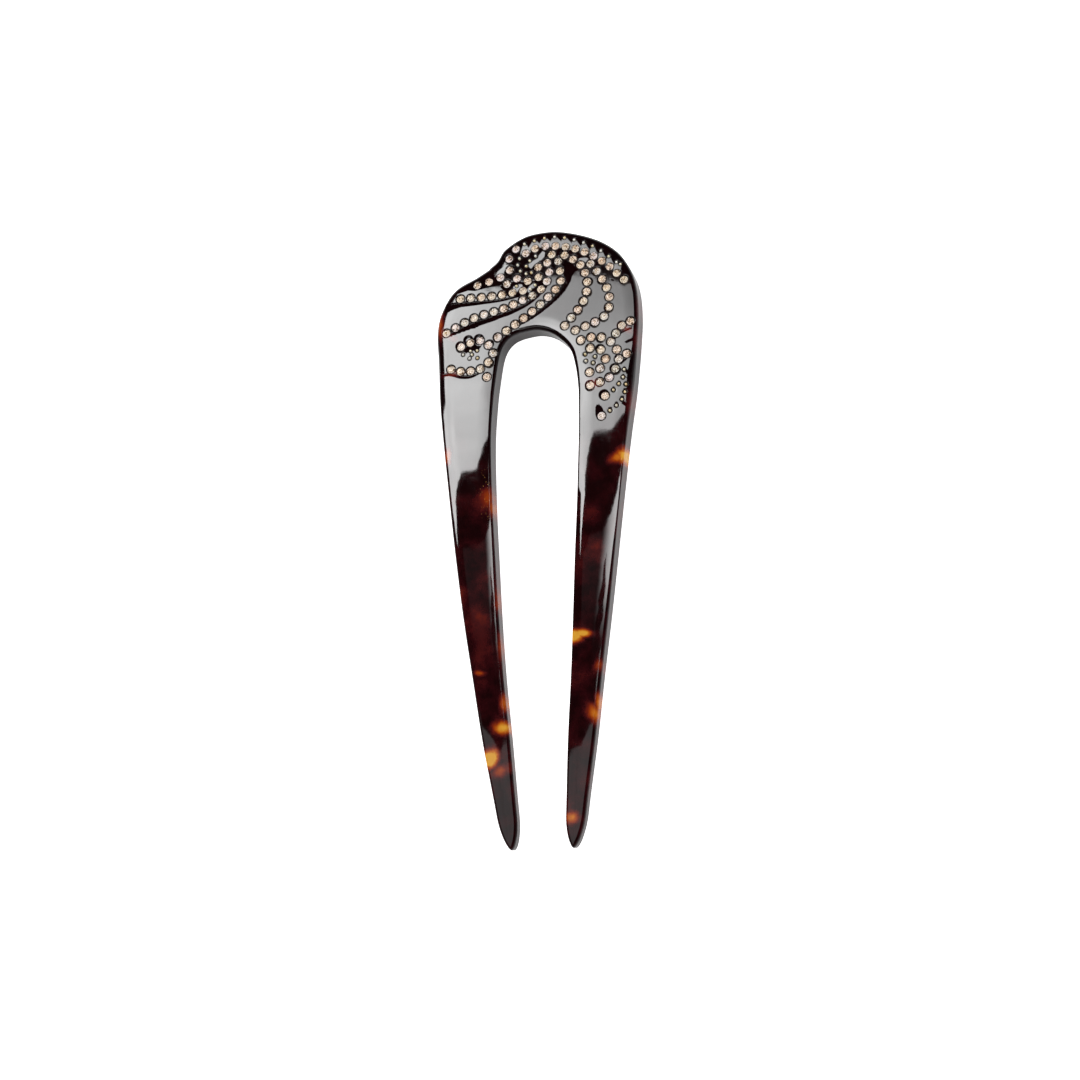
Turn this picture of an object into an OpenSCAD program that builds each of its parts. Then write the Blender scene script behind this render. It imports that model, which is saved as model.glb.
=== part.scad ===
// A flat U-shaped hair pin: one bowed body with two prongs and a broad crown,
// set with rows of small cut stones and fine metal studs.
// The pin lies on its back: X across, Y from the prong tips to the crown,
// Z up through the decorated front.

/* [Pin] */
// Length of the prongs, from the tips to the foot of the head
leg_l = 94; // [70:1:120]
// Height of the head, from the end of the prongs to the top of the crown
head_h = 46; // [38:1:56]
// Width of the head at its widest
head_w = 47; // [42:1:58]
// Widest space between the prongs, just below the arch
gap_w = 20.3; // [16:0.1:22]
// Rise of the bent sheet's middle over its two ends, to follow the head
bow_rise = 5; // [2:0.5:9]
// Length of the rounded end of each prong
tip_l = 7.5; // [4:0.5:10]

/* [Thickness] */
// Thickness of the head
head_t = 5.2; // [4.2:0.1:7]
// Thickness of the prong tips
tip_t = 3.2; // [2.6:0.1:4]
// Width of the soft roll along the front edge of the head
roll_w = 3.4; // [2.2:0.1:4.2]
// Width of that roll at the prong tips
tip_roll_w = 2; // [1.4:0.1:2.6]
// Depth of the roll, from the front face down to the side wall
roll_h = 1; // [0.6:0.1:1.6]
// Rounding of the back edges
back_round = 0.5; // [0.2:0.1:0.8]

/* [Stones] */
// Diameter of a cut stone
stone_d = 1.8; // [1.3:0.05:2.1]
// Height of a stone above its girdle
crown_h = 0.34; // [0.24:0.02:0.44]
// Depth of a stone below its girdle
pavilion_h = 0.78; // [0.6:0.02:0.95]
// Height of the girdle itself
girdle_h = 0.06; // [0.04:0.01:0.12]
// Width of the table, the flat top facet
table_d = 1.0; // [0.7:0.05:1.1]
// Depth of the girdle's upper edge below the surface round the stone
sink = 0.1; // [0.05:0.01:0.2]
// Clearance round and under a stone in its seat
seat_gap = 0.05; // [0.04:0.01:0.08]
// Thinnest wall left between two seats, and between a seat and the rim
seat_wall = 0.05; // [0.04:0.01:0.15]

/* [Studs] */
// Diameter of a stud
stud_d = 0.55; // [0.4:0.05:0.7]
// Length of a stud below the surface
stud_l = 1.2; // [0.8:0.1:1.8]
// Height of a stud's round head above the surface, up to its dome
stud_rise = 0.08; // [0.04:0.02:0.16]
// Clearance round and under a stud in its hole
stud_gap = 0.05; // [0.04:0.01:0.08]

/* [Hidden] */

// Half widths that the shares in the tables below stand for
half_w = head_w / 2;
half_gap = gap_w / 2;
pin_l = leg_l + head_h;
// Radius of the bow on its hollow side, and half the angle that it spans
bow_r = (pin_l * pin_l / 4 + bow_rise * bow_rise) / (2 * bow_rise);
bow_half = pin_l / 2 / bow_r * 180 / PI;
// Sides of the round holes and studs
round_fn = 32;
// A stone's outline has this many sides
stone_sides = 8;
// The roll's section is a superellipse of this power
roll_power = 2.2;
// Step for the slope of the front face
slope_step = 0.2;
// The prong tip's outline is an ellipse drawn out to this power
tip_power = 0.6;
// The sheet reaches its full thickness at this share of the head
full_t_at = 0.3;
// The roll takes at most this share of a section's width, a back edge's
// rounding at most this one
max_roll = 0.42;
max_back = 0.2;
// The middle point of a back edge's rounding lies this share in from both faces
round_mid = 0.3;

// Sections through a prong: share of leg_l from the tip, outer edge as a share
// of half_w, inner edge as a share of half_gap
LEG_SECTIONS = [
    [0.000, 0.387, 0.493],
    [0.114, 0.457, 0.566],
    [0.255, 0.551, 0.647],
    [0.400, 0.630, 0.754],
    [0.536, 0.706, 0.830],
    [0.680, 0.776, 0.895],
    [0.820, 0.838, 0.959],
    [0.970, 0.905, 1.000]
];

// Sections through the head, from the left prong round the arch to the right
// prong: outer edge as shares of half_w and head_h, inner edge as shares of
// half_gap and head_h
HEAD_SECTIONS = [
    [-0.945, 0.130, -0.965, 0.130],
    [-0.962, 0.235, -0.925, 0.230],
    [-0.980, 0.370, -0.845, 0.362],
    [-1.000, 0.500, -0.745, 0.422],
    [-0.965, 0.610, -0.600, 0.456],
    [-0.835, 0.725, -0.430, 0.473],
    [-0.610, 0.792, -0.300, 0.479],
    [-0.435, 0.855, -0.200, 0.483],
    [-0.350, 0.922, -0.120, 0.485],
    [-0.155, 0.983, -0.050, 0.486],
    [ 0.060, 1.000,  0.030, 0.485],
    [ 0.240, 0.992,  0.130, 0.481],
    [ 0.460, 0.960,  0.260, 0.472],
    [ 0.645, 0.915,  0.400, 0.456],
    [ 0.800, 0.850,  0.550, 0.430],
    [ 0.915, 0.757,  0.710, 0.394],
    [ 0.976, 0.660,  0.820, 0.352],
    [ 1.000, 0.530,  0.898, 0.290],
    [ 0.994, 0.400,  0.940, 0.240],
    [ 0.978, 0.270,  0.968, 0.190],
    [ 0.953, 0.130,  0.988, 0.130]
];

// Rows of stones and studs: how many, and the points that the row's curve runs
// through, as shares of half_w across and of head_h up from the prongs
CREST_STONES = [[12, [[-0.131, 0.887], [0.048, 0.917], [0.350, 0.893], [0.627, 0.817], [0.854, 0.709]]]];
SHOULDER_STONES = [[6, [[-0.231, 0.914], [-0.293, 0.868], [-0.283, 0.806], [-0.385, 0.766], [-0.602, 0.736]]]];
WAVE_STONES = [
    [7, [[-0.768, 0.672], [-0.458, 0.673], [-0.144, 0.690]]],
    [10, [[-0.896, 0.498], [-0.625, 0.566], [-0.331, 0.604], [-0.049, 0.661]]],
    [2, [[0.035, 0.691], [0.091, 0.730]]],
    [11, [[-0.382, 0.458], [-0.043, 0.579], [0.184, 0.686], [0.230, 0.731], [0.197, 0.831]]]
];
HOOK_STONES = [
    [10, [[-0.746, 0.421], [-0.561, 0.448], [-0.423, 0.382], [-0.533, 0.304],
          [-0.730, 0.294], [-0.838, 0.309]]],
    [1, [[-0.479, 0.258]]]
];
INNER_STONES = [
    [5, [[-0.307, 0.732], [-0.219, 0.757], [-0.106, 0.739], [0.005, 0.755], [0.111, 0.778]]],
    [2, [[-0.001, 0.808], [0.088, 0.828]]],
    [1, [[0.129, 0.870]]]
];
SWEEP_STONES = [
    [10, [[0.258, 0.861], [0.415, 0.806], [0.491, 0.714], [0.457, 0.610], [0.282, 0.492]]],
    [10, [[0.519, 0.804], [0.641, 0.719], [0.715, 0.620], [0.665, 0.524], [0.388, 0.464]]]
];
LOBE_STONES = [
    [4, [[0.927, 0.491], [0.842, 0.471], [0.739, 0.393]]],
    [3, [[0.645, 0.419], [0.545, 0.423], [0.444, 0.412]]],
    [5, [[0.537, 0.368], [0.640, 0.356], [0.691, 0.304], [0.639, 0.260], [0.536, 0.245]]],
    [6, [[0.799, 0.350], [0.820, 0.301], [0.730, 0.212], [0.543, 0.179]]]
];
SINGLE_STONES = [
    [1, [[0.898, 0.326]]],
    [1, [[0.691, 0.121]]],
    [1, [[0.657, 0.022]]]
];
CREST_STUDS = [
    [11, [[-0.145, 0.935], [0.042, 0.958], [0.246, 0.953], [0.536, 0.896], [0.775, 0.802]]],
    [1, [[0.814, 0.790]]]
];
FIELD_STUDS = [
    [3, [[-0.189, 0.860], [-0.206, 0.830], [-0.177, 0.794]]],
    [2, [[-0.085, 0.844], [-0.118, 0.817]]],
    [1, [[-0.029, 0.866]]],
    [2, [[-0.118, 0.777], [-0.065, 0.781]]],
    [1, [[-0.208, 0.716]]],
    [2, [[-0.024, 0.715], [-0.068, 0.695]]],
    [3, [[-0.721, 0.380], [-0.650, 0.357], [-0.577, 0.358]]],
    [2, [[-0.648, 0.396], [-0.582, 0.396]]],
    [1, [[-0.633, 0.377]]],
    [2, [[0.490, 0.338], [0.588, 0.322]]],
    [2, [[0.498, 0.302], [0.571, 0.291]]],
    [3, [[0.874, 0.246], [0.864, 0.209], [0.893, 0.172]]],
    [4, [[0.884, 0.134], [0.856, 0.097], [0.806, 0.070], [0.741, 0.045]]],
    [2, [[0.825, 0.176], [0.772, 0.147]]]
];

// The groups in the order in which stones, then studs, claim their places
STONE_GROUPS = [CREST_STONES, SHOULDER_STONES, WAVE_STONES, HOOK_STONES,
                INNER_STONES, SWEEP_STONES, LOBE_STONES, SINGLE_STONES];
STUD_GROUPS = [CREST_STUDS, FIELD_STUDS];

// Plain helpers
function clamp01(v) = min(1, max(0, v));
function smooth(v) = let (c = clamp01(v)) c * c * (3 - 2 * c);
function mix(a, b, f) = a + (b - a) * f;

// Point at parameter t of the smooth curve through pts
function curve_at(pts, t) =
    let (n = len(pts) - 1,
         i = min(floor(t), n - 1),
         f = t - i,
         a = i > 0 ? pts[i - 1] : 2 * pts[0] - pts[1],
         b = pts[i],
         c = pts[i + 1],
         d = i + 2 <= n ? pts[i + 2] : 2 * pts[n] - pts[n - 1])
    0.5 * (2 * b + (c - a) * f + (2 * a - 5 * b + 4 * c - d) * f * f
           + (3 * b - a - 3 * c + d) * f * f * f);

// Bends a point of the flat sheet round the bow. Its third value is its height
// above the sheet's back.
function bow_angle(y) = (y - pin_l / 2) / bow_r * 180 / PI;
function bend(p) =
    let (a = bow_angle(p.y))
    [p.x, (bow_r + p.z) * sin(a), (bow_r + p.z) * cos(a) - bow_r * cos(bow_half)];
function thick(y) = mix(tip_t, head_t, smooth(y / (leg_l + full_t_at * head_h)));
function roll_width(y) = mix(tip_roll_w, roll_w, smooth(y / leg_l));

// All sections as [outer x, outer y, inner x, inner y]
left_leg = [for (s = LEG_SECTIONS) [-s[1] * half_w, s[0] * leg_l, -s[2] * half_gap, s[0] * leg_l]];
right_leg = [for (k = [len(LEG_SECTIONS) - 1 : -1 : 0])
    let (s = LEG_SECTIONS[k])
    [s[1] * half_w, s[0] * leg_l, s[2] * half_gap, s[0] * leg_l]];
head = [for (s = HEAD_SECTIONS)
    [s[0] * half_w, leg_l + s[1] * head_h, s[2] * half_gap, leg_l + s[3] * head_h]];
sections = concat(left_leg, head, right_leg);

// Rings: a few close together round each tip, then two to a section
tip_turns = [12, 28, 44, 60, 76];
first_l = LEG_SECTIONS[1][0] * leg_l;
tip_steps = [for (a = tip_turns) tip_l * (1 - cos(a)) / first_l];
last_step = len(sections) - 1;
ring_steps = concat(tip_steps,
                    [for (k = [2 : 2 * last_step - 2]) k / 2],
                    [for (k = [len(tip_steps) - 1 : -1 : 0]) last_step - tip_steps[k]]);

// Share of its full width that the prong keeps at y, near its tip
function tip_share(y) = y >= tip_l ? 1 : pow(1 - pow(1 - y / tip_l, 2), tip_power);
function ring_ends(t) =
    let (s = curve_at(sections, t),
         out = [s[0], s[1]],
         inn = [s[2], s[3]],
         mid = (out + inn) / 2,
         f = tip_share(mid.y))
    [mid + (inn - mid) * f, mid + (out - mid) * f];
rings = [for (t = ring_steps) ring_ends(t)];
ring_n = len(rings);

// The outline in plan, outer edge first and back along the inner edge
outline = concat([for (r = rings) r[1]], [for (k = [ring_n - 1 : -1 : 0]) rings[k][0]]);

// Distance from a point to the outline
function seg_dist(p, a, b) =
    let (ab = b - a, f = clamp01(((p - a) * ab) / (ab * ab)))
    norm(p - a - ab * f);
function edge_dist(p) =
    min([for (k = [0 : len(outline) - 1]) seg_dist(p, outline[k], outline[(k + 1) % len(outline)])]);

// Drop of the front face at distance d from the edge
function roll_drop(d, w) =
    roll_h * (1 - pow(1 - pow(1 - clamp01(d / w), roll_power), 1 / roll_power));
// Height of the front face over the back of the flat sheet, and its direction
// once the sheet is bent
function front_at(p) = thick(p.y) - roll_drop(edge_dist(p), roll_width(p.y));
function front_normal(p) =
    let (sx = front_at(p + [slope_step, 0]) - front_at(p - [slope_step, 0]),
         sy = front_at(p + [0, slope_step]) - front_at(p - [0, slope_step]),
         v = [-sx, -sy, 2 * slope_step] / norm([-sx, -sy, 2 * slope_step]),
         a = bow_angle(p.y))
    [v.x, v.y * cos(a) + v.z * sin(a), v.z * cos(a) - v.y * sin(a)];

// One ring's section: along the back, up the outer wall, over the front and
// down the inner wall. Each entry is [distance from the inner edge, height].
ROLL_SHARES = [0, 0.05, 0.18, 0.42, 1];
FRONT_INNER = 4;
BACK_INNER = 3;
function ring_points(r) =
    let (w = norm(r[1] - r[0]),
         dir = (r[1] - r[0]) / w,
         rw = min(roll_width(r[0].y), max_roll * w),
         br = min(back_round, max_back * w),
         bm = round_mid * br,
         back_at = concat([[0, br], [bm, bm]],
                          [for (k = [0 : BACK_INNER + 1]) [br + (w - 2 * br) * k / (BACK_INNER + 1), 0]],
                          [[w - bm, bm], [w, br]]),
         out_at = [for (s = ROLL_SHARES) w - s * rw],
         mid_at = [for (k = [1 : FRONT_INNER]) w - rw - (w - 2 * rw) * k / (FRONT_INNER + 1)],
         inn_at = [for (k = [len(ROLL_SHARES) - 1 : -1 : 0]) ROLL_SHARES[k] * rw])
    concat([for (b = back_at) let (p = r[0] + dir * b[0]) bend([p.x, p.y, b[1]])],
           [for (s = concat(out_at, mid_at, inn_at)) let (p = r[0] + dir * s) bend([p.x, p.y, front_at(p)])]);

module blank() {
    loops = [for (r = rings) ring_points(r)];
    m = len(loops[0]);
    sides = [for (i = [0 : ring_n - 2]) for (j = [0 : m - 1])
        let (a = i * m + j,
             b = i * m + (j + 1) % m,
             c = a + m,
             d = b + m)
        each [[a, c, b], [b, c, d]]];
    first_cap = [for (j = [0 : m - 1]) j];
    last_cap = [for (j = [m : -1 : 1]) (ring_n - 1) * m + j % m];
    polyhedron(points = [for (l = loops) each l], faces = concat([first_cap], sides, [last_cap]));
}

// Points spaced evenly along a row's curve
ROW_STEPS = 12;
function row_track(pts) = len(pts) == 1 ? pts :
    [for (k = [0 : ROW_STEPS * (len(pts) - 1)]) curve_at(pts, k / ROW_STEPS)];
function run_lengths(track, k = 0, acc = [0]) = k >= len(track) - 1 ? acc :
    run_lengths(track, k + 1, concat(acc, [acc[k] + norm(track[k + 1] - track[k])]));
function along(track, runs, s) =
    let (k = max([for (i = [0 : len(runs) - 2]) if (runs[i] <= s) i]),
         f = (s - runs[k]) / (runs[k + 1] - runs[k]))
    mix(track[k], track[k + 1], f);
function row_points(row) =
    let (pts = [for (q = row[1]) [q[0] * half_w, leg_l + q[1] * head_h]],
         track = row_track(pts),
         runs = run_lengths(track),
         whole = runs[len(runs) - 1])
    row[0] == 1 ? pts : [for (k = [0 : row[0] - 1]) along(track, runs, whole * k / (row[0] - 1))];
function group_points(groups, kind) =
    [for (g = [0 : len(groups) - 1]) for (row = groups[g]) for (p = row_points(row)) [p, g, kind]];

// A place is taken only where it leaves a wall to the rim and to the places
// taken before it
STONE = 0;
STUD = 1;
function hole_r(kind) = kind == STONE ? stone_d / 2 + seat_gap : stud_d / 2 + stud_gap;
function clear_of(p, kind, taken) =
    len([for (q = taken) if (norm(p - q[0]) < hole_r(kind) + hole_r(q[2]) + seat_wall) 1]) == 0;
function take(list, k = 0, taken = []) = k >= len(list) ? taken :
    let (c = list[k],
         fits = edge_dist(c[0]) > hole_r(c[2]) + seat_wall && clear_of(c[0], c[2], taken))
    take(list, k + 1, fits ? concat(taken, [c]) : taken);
places = take(concat(group_points(STONE_GROUPS, STONE), group_points(STUD_GROUPS, STUD)));

// Puts its children at a place on the front face, square to the surface
module on_front(p) {
    n = front_normal(p);
    turn = acos(n.z);
    translate(bend([p.x, p.y, front_at(p)]))
        rotate(a = turn, v = turn < 0.001 ? [0, 0, 1] : [-n.y, n.x, 0])
            children();
}

// A cut stone: table, crown facets, girdle and pavilion facets
module stone() {
    step = 360 / stone_sides;
    round = [for (k = [0 : stone_sides - 1]) [cos(k * step), sin(k * step)] / 2];
    top = [for (q = round * table_d) [q.x, q.y, crown_h - sink]];
    rim = [for (q = round * stone_d) [q.x, q.y, -sink]];
    foot = [for (q = rim) [q.x, q.y, -sink - girdle_h]];
    tip = [[0, 0, -sink - girdle_h - pavilion_h]];
    n = stone_sides;
    table = [[for (k = [n - 1 : -1 : 0]) k]];
    crown = [for (k = [0 : n - 1]) [k, (k + 1) % n, n + (k + 1) % n, n + k]];
    girdle = [for (k = [0 : n - 1]) [n + k, n + (k + 1) % n, 2 * n + (k + 1) % n, 2 * n + k]];
    pavilion = [for (k = [0 : n - 1]) [2 * n + k, 2 * n + (k + 1) % n, 3 * n]];
    polyhedron(points = concat(top, rim, foot, tip), faces = concat(table, crown, girdle, pavilion));
}

// The drilled seat that a stone sits in, open at the front
module seat() {
    depth = sink + girdle_h + pavilion_h + seat_gap;
    translate([0, 0, -depth])
        cylinder(r = hole_r(STONE), h = depth + crown_h, $fn = round_fn);
}

// A stud: a straight pin with a dome
module stud() {
    translate([0, 0, -stud_l])
        cylinder(d = stud_d, h = stud_l + stud_rise, $fn = round_fn);
    translate([0, 0, stud_rise])
        intersection() {
            sphere(d = stud_d, $fn = round_fn);
            cylinder(d = 2 * stud_d, h = stud_d, $fn = round_fn);
        }
}

// The hole that a stud sits in
module stud_hole() {
    translate([0, 0, -stud_l - stud_gap])
        cylinder(r = hole_r(STUD), h = stud_l + stud_gap + stud_d, $fn = round_fn);
}

module stones_of(group) {
    for (c = places)
        if (c[2] == STONE && c[1] == group)
            on_front(c[0]) stone();
}

module studs_of(group) {
    for (c = places)
        if (c[2] == STUD && c[1] == group)
            on_front(c[0]) stud();
}

// The head's thicker end reaches a little further than the tips, so all
// moves back by half the difference
module centred() {
    translate([0, -(head_t - tip_t) / 2 * sin(bow_half), 0]) children();
}

module pin_body() {
    color("#2b1012")
        centred()
            difference() {
                blank();
                for (c = places)
                    on_front(c[0])
                        if (c[2] == STONE) seat(); else stud_hole();
            }
}

module crest_stones() { color("#efe0d6") centred() stones_of(0); }
module shoulder_stones() { color("#efe0d6") centred() stones_of(1); }
module wave_stones() { color("#efe0d6") centred() stones_of(2); }
module hook_stones() { color("#efe0d6") centred() stones_of(3); }
module inner_stones() { color("#efe0d6") centred() stones_of(4); }
module sweep_stones() { color("#efe0d6") centred() stones_of(5); }
module lobe_stones() { color("#efe0d6") centred() stones_of(6); }
module single_stones() { color("#efe0d6") centred() stones_of(7); }
module crest_studs() { color("#d8b46a") centred() studs_of(0); }
module field_studs() { color("#d8b46a") centred() studs_of(1); }

pin_body();
crest_stones();
shoulder_stones();
wave_stones();
hook_stones();
inner_stones();
sweep_stones();
lobe_stones();
single_stones();
crest_studs();
field_studs();
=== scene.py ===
import math

import bpy
import numpy as np
from mathutils import Matrix, Vector
from mathutils.geometry import delaunay_2d_cdt
from mathutils.kdtree import KDTree
from numpy.linalg import norm, svd


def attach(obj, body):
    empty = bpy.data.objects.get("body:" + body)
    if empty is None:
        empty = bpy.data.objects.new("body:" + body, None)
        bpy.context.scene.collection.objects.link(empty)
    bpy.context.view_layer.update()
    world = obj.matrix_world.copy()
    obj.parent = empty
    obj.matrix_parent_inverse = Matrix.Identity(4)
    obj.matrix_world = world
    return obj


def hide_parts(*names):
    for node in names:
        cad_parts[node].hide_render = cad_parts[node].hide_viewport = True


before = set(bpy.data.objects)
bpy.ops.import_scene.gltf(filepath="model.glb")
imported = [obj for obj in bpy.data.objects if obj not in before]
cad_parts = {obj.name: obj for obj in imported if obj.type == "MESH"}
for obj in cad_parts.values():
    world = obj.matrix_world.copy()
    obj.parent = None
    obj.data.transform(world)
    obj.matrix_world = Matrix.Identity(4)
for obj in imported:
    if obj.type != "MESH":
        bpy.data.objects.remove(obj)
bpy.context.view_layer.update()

MM = 0.001

# Sizes of the pin in millimetres, the same as the solids have
LEG_L, HEAD_H, HEAD_W, GAP_W = 94.0, 46.0, 47.0, 20.3
HEAD_T, TIP_T, BOW_RISE = 5.2, 3.2, 5.0
SEAT_R, STUD_R = 0.95, 0.31
# The tips round over TIP_L, the more bluntly the lower TIP_POWER is; the sheet has its full
# thickness from FULL_T_AT of the head's height on
TIP_L, TIP_POWER, FULL_T_AT = 7.5, 0.6, 0.3
# The bow's radius and half its angle, and the shift that centres the bent sheet
PIN_L = LEG_L + HEAD_H
BOW_R = (PIN_L ** 2 / 4 + BOW_RISE ** 2) / (2 * BOW_RISE)
BOW_HALF = PIN_L / 2 / BOW_R
SHIFT_Y = -(HEAD_T - TIP_T) / 2 * math.sin(BOW_HALF)

# Sections through a prong: share of the prong's length from the tip, outer edge
# as a share of half the head's width, inner edge as a share of half the gap
LEG_SECTIONS = [
    (0, 0.387, 0.493), (0.114, 0.457, 0.566), (0.255, 0.551, 0.647), (0.4, 0.63, 0.754),
    (0.536, 0.706, 0.83), (0.68, 0.776, 0.895), (0.82, 0.838, 0.959), (0.97, 0.905, 1)]
# Sections round the head: outer edge as shares of half the width and of the
# head's height, inner edge as shares of half the gap and of the head's height
HEAD_SECTIONS = [
    (-0.945, 0.13, -0.965, 0.13), (-0.962, 0.235, -0.925, 0.23), (-0.98, 0.37, -0.845, 0.362),
    (-1, 0.5, -0.745, 0.422), (-0.965, 0.61, -0.6, 0.456), (-0.835, 0.725, -0.43, 0.473),
    (-0.61, 0.792, -0.3, 0.479), (-0.435, 0.855, -0.2, 0.483), (-0.35, 0.922, -0.12, 0.485),
    (-0.155, 0.983, -0.05, 0.486), (0.06, 1, 0.03, 0.485), (0.24, 0.992, 0.13, 0.481),
    (0.46, 0.96, 0.26, 0.472), (0.645, 0.915, 0.4, 0.456), (0.8, 0.85, 0.55, 0.43),
    (0.915, 0.757, 0.71, 0.394), (0.976, 0.66, 0.82, 0.352), (1, 0.53, 0.898, 0.29),
    (0.994, 0.4, 0.94, 0.24), (0.978, 0.27, 0.968, 0.19), (0.953, 0.13, 0.988, 0.13)]

# The soft roll along the front edge: its depth as a share of its width
ROLL_RISE = 0.85
# The width from the edge over which the front face crowns a little
CROWN_W = 3.4
# The rounding of the back edges: in general, at the tips, and how far up it is full
BACK_R, BACK_TIP_R, BACK_FULL_AT = 0.5, 0.2, 4.0
# By height up the pin, for each side of the outline: width of the roll, and rise of the crown
SIDES = {
    "outer left": (
        [(0, 0.7), (60, 0.7), (98, 0.7), (108, 1.4), (128, 1.4), (140, 1.3)], [(0, 0.14)]),
    "outer right": (
        [(0, 0.9), (50, 0.8), (60, 0.65), (66, 0.55), (70, 0.4), (76, 0.3), (86, 0.4), (95, 1.0),
         (104, 1.7), (111, 1.1), (128, 1.0), (140, 1.3)], [(0, 0.08)]),
    "inner left": (
        [(0, 0.8), (60, 0.65), (70, 0.55), (96, 0.62), (106, 0.8), (114, 1.05)],
        [(72, 0.12), (82, 0.09), (88, 0.05), (96, 0.05), (102, 0.09)]),
    "inner right": (
        [(0, 0.7), (60, 0.45), (98, 0.42), (108, 0.8), (114, 1.05)],
        [(77.5, 0.237), (80.7, 0.15), (84, 0.088), (90, 0.065), (94, 0.07), (102, 0.14)]),
}
# The left side's and the right side's values run into each other over this width
SIDE_BLEND = 6
# The lip that is broken round each drilled hole: how wide and how deep. Studs to the right
# of DEEP_FROM_X and below DEEP_TO_Y have the deep one.
LIP = (0.235, 0.12)
STUD_LIP, DEEP_STUD_LIP = (0.25, 0.12), (0.33, 0.19)
DEEP_FROM_X, DEEP_TO_Y = 9, 112
# How deep the holes go, under a stone and round a stud
SEAT_DEPTH, HOLE_DEPTH = 1.0, 1.25

# The mesh of the body. Steps along the outline: at the tips, what is added higher up, and
# the height at which all of it is
TIP_STEP, MORE_STEP, STEP_OVER = 0.16, 0.24, 6
# The step along the curve through the sections, before it is divided evenly
TRACK_STEP = 0.05
# Points round a hole, the rings outside it, and the loops along the roll, in degrees
RING_N = 32
LIP_RINGS = (0.05, 0.12, 0.20, 0.27, 0.345)
ROLL_TURNS = (14, 26, 38, 50, 62, 74, 90)
BACK_TURNS = (0, 30, 60, 90)
# Steps of the grids, and how far apart the points of each kind stay
HEAD_STEP, LEG_STEP, BACK_STEP = 0.3, 0.6, 1.5
CUT_APART, ROLL_APART, LIP_APART, GRID_APART = 0.045, 0.02, 0.05, 0.17
# How far the points of each kind stay from the holes, and from the outline
CUT_FROM_HOLE, ROLL_FROM_HOLE, GRID_FROM_HOLE = 0.04, 0.06, 0.1
CUT_FROM_EDGE, LIP_FROM_EDGE, GRID_FROM_ROLL, BACK_FROM_ROUND = 0.06, 0.08, 0.12, 0.5
# A triangle along a hole's rim lies inside the circle by less than this share of its radius
RIM_SAG = 0.008
# Triangles of the back this near its border are tested again
BACK_DOUBT = 0.35
# How far the normals of a hole's rim lean out over it
RIM_LEAN = 0.8
# The front's slope is read over this step
SLOPE_STEP = 0.02


def bend(x, y, h):
    """Points of the flat sheet, in millimetres, bent round the bow, in metres in the row frame."""
    x, y, h = np.broadcast_arrays(np.asarray(x, float), y, h)
    a = (y - PIN_L / 2) / BOW_R
    z = (BOW_R + h) * np.cos(a) - BOW_R * math.cos(BOW_HALF)
    return np.stack([x, (BOW_R + h) * np.sin(a) + SHIFT_Y, z], -1) * MM


def bend_turn(y, v):
    """Directions of the flat sheet, turned as the bow turns the sheet at y."""
    a = (np.asarray(y, float) - PIN_L / 2) / BOW_R
    c, s = np.cos(a), np.sin(a)
    return np.stack([v[..., 0], v[..., 1] * c + v[..., 2] * s, v[..., 2] * c - v[..., 1] * s], -1)


def flatten(p):
    """The flat sheet's x, y and height of points in the row frame."""
    p = np.asarray(p, float) / MM
    yy, zz = p[..., 1] - SHIFT_Y, p[..., 2] + BOW_R * math.cos(BOW_HALF)
    return p[..., 0], np.arctan2(yy, zz) * BOW_R + PIN_L / 2, np.hypot(yy, zz) - BOW_R


def smooth(v):
    """A soft step from 0 to 1."""
    v = np.clip(v, 0, 1)
    return v * v * (3 - 2 * v)


def thick(y):
    """The sheet's thickness at y."""
    return TIP_T + (HEAD_T - TIP_T) * smooth(np.asarray(y, float) / (LEG_L + FULL_T_AT * HEAD_H))


def unit(v):
    """Rows of v at length 1."""
    return v / norm(v, axis=1)[:, None]


def right_of(v):
    """Flat directions turned a quarter to the right."""
    return np.stack([v[:, 1], -v[:, 0]], -1)


def curve_at(pts, t):
    """The smooth curve through pts at the parameters t."""
    pts, t = np.asarray(pts, float), np.atleast_1d(np.asarray(t, float))
    ends = np.vstack([2 * pts[0] - pts[1], pts, 2 * pts[-1] - pts[-2]])
    i = np.clip(np.floor(t).astype(int), 0, len(pts) - 2)
    f = (t - i)[:, None]
    a, b, c, d = ends[i], ends[i + 1], ends[i + 2], ends[i + 3]
    return 0.5 * (2 * b + (c - a) * f + (2 * a - 5 * b + 4 * c - d) * f ** 2
                  + (3 * b - a - 3 * c + d) * f ** 3)


def evenly(track, step):
    """Points along an open track, about a step apart; the step may vary with y."""
    seg = norm(np.diff(track, axis=0), axis=1)
    mid_y = (track[1:, 1] + track[:-1, 1]) / 2
    run = np.concatenate([[0], np.cumsum(seg / step(mid_y))])
    at = np.linspace(0, run[-1], int(round(run[-1])) + 1)
    return np.stack([np.interp(at, run, track[:, k]) for k in (0, 1)], -1)


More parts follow.
